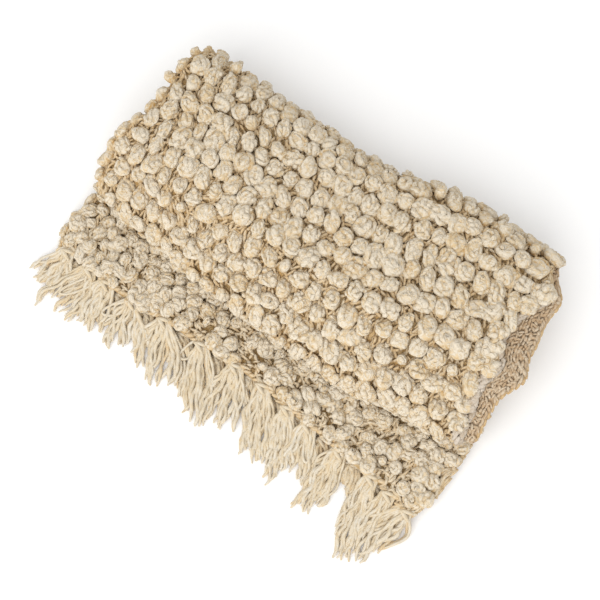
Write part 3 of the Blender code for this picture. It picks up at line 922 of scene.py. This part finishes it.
def make_bobbles(knit):
    """Bobbles in four pieces: the top, the back fold, the front with the strip and both sides, and the
    underside, whose bobbles are bare because the surface hides them."""
    rng = np.random.default_rng(11)
    s, u = bobble_places(knit, rng)
    axes = bobble_axes(knit, rng, s, u)
    count = len(s)
    tilt = rng.normal(0.20, 0.18, count)
    kind = rng.choice(len(KINDS), count, p=list(KINDS.values()))
    lumps = [(rng.normal(0.0, 2.6, (count, 3)), rng.uniform(0.0, 2 * np.pi, count)) for _ in range(3)]
    light = np.where(u < 0.006, 0.48, 0.50) + rng.normal(0.0, 0.040, count)
    underside = (u < -HALF_TURN) & (s < START["back fold"] - 0.02) & (s > 0.02)
    top = (u < 0) & (s >= START["top run"]) & (s < START["second run"] + 0.03)
    back = (u < 0) & (s >= START["back fold"] - 0.02) & (s < START["top run"])
    pieces = []
    for name, chosen in (
        ("bobbles_top", top), ("bobbles_back", back),
        ("bobbles_front_and_sides", ~(underside | top | back)), ("bobbles_underneath", underside),
    ):
        yarns = Yarns()
        for number, dress in enumerate(KINDS):
            these = chosen & (kind == number)
            egg = [axis[these] for axis in axes], tilt[these], [(w[these], p[these]) for w, p in lumps]
            # the cores, which show only between the yarns over them, are darker by 0.10: painted shade
            bobble_cores(yarns, egg, light[these] - 0.10)
            if chosen is not underside:
                dress(yarns, rng, egg, light[these])
        pieces.append(yarns.make(name, wool("bobble_wool")))
    return pieces, (s, u)


STITCH = 0.0125  # a ground stitch's length
STITCH_ROWS = 0.78 * STITCH
STRIP_STITCH_ROWS = 0.34 * STITCH  # before they are thinned
STRIP_STITCH_PITCH = 0.0046
STITCH_BOW = 0.0026  # how far one bends to a side, and how far its ends dip
BOBBLE_FOOT = (0.0125, 0.0100)  # the reach along and across within which a bobble hides the ground


def make_stitches(knit, s_bobble, u_bobble):
    """The ground between the bobbles: short leaning loops in columns, left out under each bobble. They stand
    closer together and lie more askew in the strip, and each is darker towards its ends, where it dips into
    the ground: painted shade. One piece is the outer face, the other the strip and the sides."""
    rng = np.random.default_rng(5)
    strip_end = STRIP_END - 0.005

    def columns(rows):
        """Points in columns, every other one moved along by half a row."""
        s, u = np.meshgrid(rows, np.arange(0.5, 140.0) * knit.stitch_pitch, indexing="ij")
        return (s + 0.5 * STITCH_ROWS * (np.arange(s.shape[1]) % 2)).ravel(), u.ravel()

    s_all, u_all = on_both_sheets(STITCH_ROWS, 0.006, strip_end, columns)
    rows, across = np.arange(0.006, strip_end, STRIP_STITCH_ROWS), np.arange(0.5, 150.0) * STRIP_STITCH_PITCH
    s, u = (grid.ravel() for grid in np.meshgrid(rows, across, indexing="ij"))
    kept = thinned(s, u, 2.0, rng)
    s, u = np.concatenate([*s_all, s[kept]]), np.concatenate([*u_all, u[kept]])
    s = s + rng.normal(0.0, 0.0012, len(s))
    u = u + rng.normal(0.0, 0.0007, len(u))
    edge = sheet_edge(s, u)
    outer = (u < 0) & (s > START["back fold"] - 0.03) & (s < START["second run"] + 0.006)
    strip = (u > 0) & (s < strip_end)
    rim = (np.abs(u) < HALF_TURN) | (np.abs(u) > edge - 0.018)
    kept = (outer | strip | rim) & (np.abs(u) < edge - 0.003) & (s > 0.004) & (s < PATH_LENGTH - 0.004)
    s, u, strip = s[kept], u[kept], strip[kept]
    nearest = np.full(len(s), FAR)
    for first in range(0, len(s), 2000):
        part = slice(first, first + 2000)
        same_side = (u[part, None] < 0) == (u_bobble[None] < 0)
        gap_s, gap_u = s[part, None] - s_bobble, u[part, None] - u_bobble
        gap = np.hypot(gap_s / BOBBLE_FOOT[0], gap_u / BOBBLE_FOOT[1])
        nearest[part] = np.where(same_side, gap, FAR).min(axis=1)
    kept = nearest > np.where(strip, 0.55, 0.66)
    s, u, strip = s[kept, None], u[kept, None], strip[kept, None]
    t = np.linspace(-1.0, 1.0, 4)[None]
    lean = 0.35 * np.sin(s * 60.0 + u * 23.0) + rng.normal(0.20, np.where(strip, 0.90, 0.58))
    lean = lean * np.where(u < 0, -1.0, 1.0)
    half = 0.5 * STITCH * rng.normal(1.0, 0.18, s.shape)
    s_line = s + half * t * np.cos(lean)
    u_line = u + half * t * np.sin(lean) + STITCH_BOW * rng.normal(size=s.shape) * (1.0 - t**2)
    high = 0.0056 + 0.0034 * rng.random(s.shape) + 0.0030 * strip * rng.random(s.shape)
    radius = 0.5 * knit.stitch_thickness * (1.0 - 0.30 * t**4) * rng.normal(1.0, 0.12, s.shape)
    # painted shade: each stitch darker towards its ends
    shade = np.where(strip, 0.56, 0.45) + 0.05 * rng.normal(size=s.shape) - 0.12 * t**2
    pieces = []
    for name, chosen in (("ground_stitches_outside", u[:, 0] < 0), ("ground_stitches_strip", u[:, 0] >= 0)):
        yarns = Yarns()
        values = (value[chosen] for value in (s_line, u_line, high - STITCH_BOW * t**2, radius, shade))
        laid(yarns, *values, around=4, shaded=0.16)
        pieces.append(yarns.make(name, wool("ground_wool")))
    return pieces


LINK = 0.0090  # from link to link of a chained edge
LINK_REACH = 0.62 * LINK  # from a link's middle to its end, past the next one's start
ROLL_YARN = 0.0110  # the length of a yarn in the rolled edge
ROLL_RADIUS = 0.0034
ROLL_MIDDLE = (0.0005, 0.0060)  # how far in from the edge, and how far out, the roll's middle lies
REVERSE_ROWS = 0.0050
REVERSE_COLUMNS = 0.0042
REVERSE_FIRST, REVERSE_LAST = 0.004, 0.066  # columns from the sheet's edge to behind the other sheet
BENT = np.linspace(-1.0, 1.0, 5)[None]  # the measure from end to end of these short yarns


def make_chains(rng):
    """Chained edges of both sheets: rows of short yarns, thick in the middle, that reach past each other. Two
    rows lie side by side along each side edge, and one looser row along the fringed edge. Each yarn is darker
    towards its ends, where it goes under the next: painted shade."""
    yarns, t = Yarns(), BENT
    for side in (-1.0, 1.0):
        s = np.arange(LINK / 2, PATH_LENGTH, LINK)[:, None]
        for inward, off in ((0.0035, 0.0052), (0.0005, 0.0026)):
            u_line = side * (sheet_edge(s, side) - inward + 0.0016 * t)
            radius = 0.0026 * (1.0 - 0.45 * t**2) * rng.normal(1.0, 0.08, s.shape)
            bulge = 0.0007 * (1 - t**2)
            # painted shade: each link darker towards its ends
            laid(
                yarns, s + LINK_REACH * t, u_line, off + bulge, radius, 0.42 - 0.1 * t**2 + 0 * s,
                outwards=0.002 - bulge)
        u = side * np.arange(HALF_TURN * 0.2, float(sheet_edge(0.0, side)) - 0.002, LINK)[:, None]
        s_line = 0.0030 + 0.0022 * t + rng.normal(0.0, 0.0016, u.shape)
        off_line = 0.0062 + 0.0016 * (1 - t**2) + rng.normal(0.0, 0.0008, u.shape)
        radius = 0.0033 * (1.0 - 0.40 * t**2) * rng.normal(1.0, 0.14, u.shape)
        # painted shade: each link darker towards its ends
        laid(yarns, s_line, u + LINK_REACH * t, off_line, radius, 0.42 - 0.1 * t**2 + 0 * u)
    return yarns.make("selvedge_chains", wool("ground_wool"))


def make_roll(rng):
    """The rolled edge of the face sheet along the top: short yarns that turn about a line beside the edge,
    at a radius that grows by half towards the front."""
    yarns, t = Yarns(), BENT
    s = np.arange(START["top run"] + 0.01, START["inner back fold"], ROLL_YARN * 0.14)[:, None]
    full = 1.0 + 0.55 * smooth((s - START["top run, front half"]) / 0.08)
    twist = 2 * np.pi * np.arange(len(s))[:, None] * 0.38 + rng.normal(0.0, 0.8, s.shape)
    s_line = s + 0.5 * ROLL_YARN * t
    angle = twist + rng.normal(0.7, 0.6, s.shape) * t
    middle = ROLL_MIDDLE[0] - sheet_edge(s_line, -1.0)
    off_line = ROLL_MIDDLE[1] + ROLL_RADIUS * full * np.sin(angle)
    lines = place(s_line, middle - ROLL_RADIUS * full * np.cos(angle), off_line)
    up = unit(lines - place(s_line, middle, ROLL_MIDDLE[1]))
    radius = 0.0025 * full * (1.0 - 0.4 * t**4) * rng.normal(1.0, 0.18, s.shape)
    tubes(yarns, lines, radius, up, 0.46 + 0.04 * rng.normal(size=s.shape) + 0 * t, around=6)
    return yarns.make("selvedge_roll", wool("edge_wool"))


def make_reverse(rng):
    """The plain knit of the lining's reverse: short yarns in columns that lean to either side in turn. Each
    yarn is darker towards its ends: painted shade.
    """
    yarns, t = Yarns(), BENT
    rows = np.arange(START["back fold"] + 0.02, START["second run"] + 0.02, REVERSE_ROWS)
    columns = np.arange(REVERSE_FIRST, REVERSE_LAST, REVERSE_COLUMNS)
    s, inward = (grid.ravel()[:, None] for grid in np.meshgrid(rows, columns, indexing="ij"))
    column = np.round((inward - REVERSE_FIRST) / REVERSE_COLUMNS)
    s = s + 0.0026 * (np.floor(column / 2) % 2) + rng.normal(0.0, 0.0013, s.shape)
    u = sheet_edge(s, 1.0) - inward
    lean = np.where(column % 2 == 0, 0.40, -0.40) + rng.normal(0.0, 0.42, s.shape)
    half = 0.0040 * rng.normal(1.0, 0.20, s.shape)
    s_line, u_line = s + half * t * np.cos(lean), u + half * t * np.sin(lean)
    off = 0.0010 - 0.0020 * (1.0 - t**2) - 0.0012 * rng.random(s.shape)
    radius = 0.0022 * (1.0 - 0.3 * t**2) * rng.normal(1.0, 0.16, s.shape)
    # painted shade: darker towards each yarn's ends
    shade = 0.45 - 0.09 * t**2 + 0.07 * rng.normal(size=s.shape)
    laid(yarns, s_line, u_line, off, radius, shade, outwards=-0.002, around=4, shaded=0.14)
    return yarns.make("reverse_stitches", wool("reverse_wool"))


UPWARD = np.array([0.0, 0.0, 1.0])
LOCKS = 5  # locks of yarn in a tassel
DRAWN = 0.78  # how far a lock's yarns draw together at their ends
NECK = (0.0078, 0.0045)  # a tassel's half width below its hitch, and how much wider it is above
LOWER_HIGH, UPPER_HIGH = -0.002, 0.0025  # how far from the edge's height the tassels start
HITCH_HALF = 0.0088
HITCH_YARN = 0.0031
HITCH_BARS = ((0.0030, 0.0000), (-0.0036, 0.0052))  # each yarn's slant, and how far out it lies
LOOP_YARN = 0.0021


def fringe_edge(side, x):
    """Y and Z of a sheet's fringed edge at X, on its outer side."""
    u = side * np.linspace(HALF_TURN, 0.64, 200)
    line = place(0.0 * u, u, 0.0048)
    line = line[np.argsort(line[:, 0])]
    return np.interp(x, line[:, 0], line[:, 1]), np.interp(x, line[:, 0], line[:, 2])


def lay_tassel(yarns, rng, fringe, lower, x, length, lean, spread):
    """One tassel: wavy yarns that start on the edge, draw in at the hitch, fan out, draw together in locks,
    and come down to the surface on a smooth curve. A yarn lies in a layer of its own, the lowest darkest, and
    the lower sheet's tassels are darker than the upper's: painted shade; the tips are a little lighter:
    painted light.
    The hitch is two yarns that slant against each other in low arches. Returns the hitch's lines."""
    t = np.linspace(0.0, 1.0, 17)[None]
    count = fringe.yarns
    edge_y, edge_z = fringe_edge(-1.0 if lower else 1.0, x)
    fan = np.linspace(-1.0, 1.0, count)[:, None] + rng.normal(0.0, 0.12, (count, 1))
    locks = np.linspace(-0.88, 0.88, LOCKS) + rng.normal(0.0, 0.12, LOCKS)
    lock = np.abs(fan - locks[None]).argmin(axis=1)
    long = length * rng.normal(1.0, 0.12, LOCKS)[lock][:, None]
    long = long * rng.uniform(0.80, 1.03, (count, 1)) * (1.0 - 0.08 * fan**2)
    fan = fan + (locks[lock][:, None] - fan) * DRAWN * smooth((t - 0.45) / 0.55)
    width = NECK[0] + NECK[1] * smooth((0.07 - t) / 0.07)
    width = width + (0.5 * spread + 0.004 - width) * smooth((t - 0.02) / 0.66) ** 0.85
    phase, turns = rng.uniform(0.0, 2 * np.pi, (2, count, 1)), rng.uniform(22.0, 34.0, (count, 1))
    waves = 0.0022 * np.sin(2 * np.pi * turns * long * t / 0.9 + phase[0])
    waves += 0.0065 * np.sin(np.pi * 1.6 * t + phase[1]) * t
    line_x = x + fan * width + lean * t**1.15 + waves * smooth(t * 5)
    line_y = edge_y + 0.007 - (long + 0.007) * t + 0.0010 * np.sin(9.0 * t + phase[1])
    high = edge_z + (LOWER_HIGH if lower else UPPER_HIGH)
    layer = rng.uniform(0.0, 1.0, (count, 1))
    lying = 0.45 * fringe.thickness + layer * (0.002 + 0.007 * (1.0 - t))
    lying = lying + (0.0 if lower else 0.0035 * (1 - t))
    line_z = lying + (high - lying) * (1.0 - smooth((t - 0.05) / 0.40))
    line_z += 0.0012 * np.sin(2 * np.pi * turns * long * t / 0.8 + phase[1]) * smooth(t * 3)
    taper = (1.0 - 0.50 * smooth((t - 0.86) / 0.14)) * (0.75 + 0.25 * smooth(t * 4))
    radius = 0.5 * fringe.thickness * taper * rng.normal(1.0, 0.14, (count, 1))
    # painted shade: the lower sheet's tassels and the lower layers darker; painted light: the tips lighter
    shade = (0.40 if lower else 0.48) + 0.04 * rng.normal(size=(count, 1)) - 0.14 * (1 - layer) + 0.05 * t
    tubes(yarns, np.stack([line_x, line_y, line_z], -1), radius, UPWARD, shade, flat=0.9, shaded=0.12)
    bar = np.linspace(-1.0, 1.0, 7)[None]
    arch = high + 0.0004 + 0.0034 * (1 - bar**2)
    return [
        np.stack([x + HITCH_HALF * bar, edge_y - out + slant * bar, arch], -1) for slant, out in HITCH_BARS]


def make_tassels(fringe):
    """The tassels of both sheets with their hitches, and a few yarns that turn back in long loops. The
    lower sheet's tassels stand between the upper ones."""
    rng = np.random.default_rng(41)
    yarns, hitches = Yarns(), Yarns()
    rows = np.array(TASSELS)
    between = (rows[1:] + rows[:-1]) / 2
    between[:, 1] *= rows[:-1, 4]
    taper = HITCH_YARN * (1 - 0.35 * np.linspace(-1.0, 1.0, 7)[None] ** 2)
    for lower, table in ((True, between), (False, rows)):
        for row in table:
            for hitch in lay_tassel(yarns, rng, fringe, lower, *row[:4]):
                tubes(hitches, hitch, taper, UPWARD, 0.42 + 0 * taper, around=6)
    for x, length, lean, width in LOOPS:
        edge_y, edge_z = fringe_edge(1.0, x)
        turn = np.linspace(0.0, np.pi, 21)[None]
        out = np.sin(turn) ** 0.8
        line = [x - 0.5 * width * np.cos(turn) * (1 + out) + lean * out, edge_y + 0.004 - length * out]
        line.append(0.0075 + (edge_z - 0.004) * (1 - out) ** 2)
        tubes(yarns, np.stack(line, -1), LOOP_YARN + 0 * turn, UPWARD, 0.50 + 0 * turn)
    fringe_wool = wool("fringe_wool")
    return [yarns.make("tassel_yarns", fringe_wool), hitches.make("tassel_hitches", fringe_wool)]


# Operators ----------------------------------------------------------------------------------------


class THROW_OT_knit(bpy.types.Operator):
    """Makes the knitted sheet, its bobbles, its ground stitches and its edges"""

    bl_idname = "throw.knit"
    bl_label = "Knit the cloth"

    def execute(self, context):
        knit = context.scene.throw_knit
        sheet = sheet_piece()
        bobbles, (s, u) = make_bobbles(knit)
        pieces = bobbles + make_stitches(knit, s, u)
        rng = np.random.default_rng(23)
        pieces += [make(rng) for make in (make_chains, make_roll, make_reverse)]
        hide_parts("knitted_cloth")
        return {"FINISHED"}


class THROW_OT_fringe(bpy.types.Operator):
    """Makes the tassels along the fringed edges"""

    bl_idname = "throw.fringe"
    bl_label = "Tie the fringe"

    def execute(self, context):
        yarns, hitches = make_tassels(context.scene.throw_fringe)
        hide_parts("tassel_fringe")
        width = float(sheet_edge(0.0, -1.0) + sheet_edge(0.0, 1.0))
        return {"FINISHED"}


FLOOR_REACH = 12.0
LOOKED_AT = (0.018, 0.002, 0.05)
KEY_PLACE = (0.30, -2.10, 2.00)
KEY_ACROSS = 3.2
KEY_COLOUR = (1.0, 0.985, 0.96)


class THROW_OT_stage(bpy.types.Operator):
    """Makes the floor, the lights and the camera"""

    bl_idname = "throw.stage"
    bl_label = "Set the stage"

    def execute(self, context):
        stage = context.scene.throw_stage
        floor_mesh = bpy.data.meshes.new("floor")
        corners = [(x * FLOOR_REACH, y * FLOOR_REACH, 0) for x, y in ((-1, -1), (1, -1), (1, 1), (-1, 1))]
        floor_mesh.from_pydata(corners, [], [(0, 1, 2, 3)])
        floor_mesh.materials.append(plain_floor(stage.floor_colour))
        floor = bpy.data.objects.new("floor", floor_mesh)
        context.scene.collection.objects.link(floor)
        azimuth, elevation = stage.azimuth, stage.elevation
        direction = np.array([
            math.sin(azimuth) * math.cos(elevation),
            -math.cos(azimuth) * math.cos(elevation),
            math.sin(elevation),
        ])
        camera_data = bpy.data.cameras.new("camera")
        camera_data.lens = stage.focal
        camera_data.sensor_width = 36.0
        camera = bpy.data.objects.new("camera", camera_data)
        camera.location = np.array(LOOKED_AT) + stage.distance * direction
        camera.rotation_euler = (math.pi / 2 - elevation, 0.0, azimuth)
        context.scene.collection.objects.link(camera)
        context.scene.camera = camera
        key_data = bpy.data.lights.new("key", "AREA")
        key_data.shape = "DISK"
        key_data.size = KEY_ACROSS
        key_data.energy = stage.key_strength
        key_data.color = KEY_COLOUR
        key = bpy.data.objects.new("key", key_data)
        key.location = KEY_PLACE
        key_x, key_y, key_z = KEY_PLACE
        key.rotation_euler = (math.atan2(math.hypot(key_x, key_y), key_z), 0.0, math.atan2(key_x, -key_y))
        context.scene.collection.objects.link(key)
        world = bpy.data.worlds.new("studio")
        world.use_nodes = True
        background = world.node_tree.nodes["Background"]
        background.inputs["Color"].default_value = linear("#FFFFFF")
        background.inputs["Strength"].default_value = stage.sky_strength
        context.scene.world = world
        context.scene.view_settings.view_transform = "Standard"
        return {"FINISHED"}


class THROW_PT_panel(bpy.types.Panel):
    """Lists the throw's sizes and steps"""

    bl_idname = "THROW_PT_panel"
    bl_label = "Bobble-knit throw"
    bl_space_type = "VIEW_3D"
    bl_region_type = "UI"
    bl_category = "Throw"

    def draw(self, context):
        scene = context.scene
        for group in (scene.throw_knit, scene.throw_fringe, scene.throw_stage):
            box = self.layout.box()
            for name in group.__annotations__:
                box.prop(group, name)
        for operator in OPERATORS:
            self.layout.operator(operator.bl_idname)


GROUPS = {"throw_knit": ThrowKnit, "throw_fringe": ThrowFringe, "throw_stage": ThrowStage}
OPERATORS = (THROW_OT_knit, THROW_OT_fringe, THROW_OT_stage)


def register():
    """Makes the classes and their settings known."""
    for cls in (*GROUPS.values(), *OPERATORS, THROW_PT_panel):
        bpy.utils.register_class(cls)
    for name, cls in GROUPS.items():
        setattr(bpy.types.Scene, name, bpy.props.PointerProperty(type=cls))


def unregister():
    """Takes them away again."""
    for name in GROUPS:
        delattr(bpy.types.Scene, name)
    for cls in (THROW_PT_panel, *reversed(OPERATORS), *reversed(tuple(GROUPS.values()))):
        bpy.utils.unregister_class(cls)


def main():
    """Makes the throw and the stage."""
    register()
    bpy.ops.throw.knit()
    bpy.ops.throw.fringe()
    bpy.ops.throw.stage()


if __name__ == "__main__":
    main()
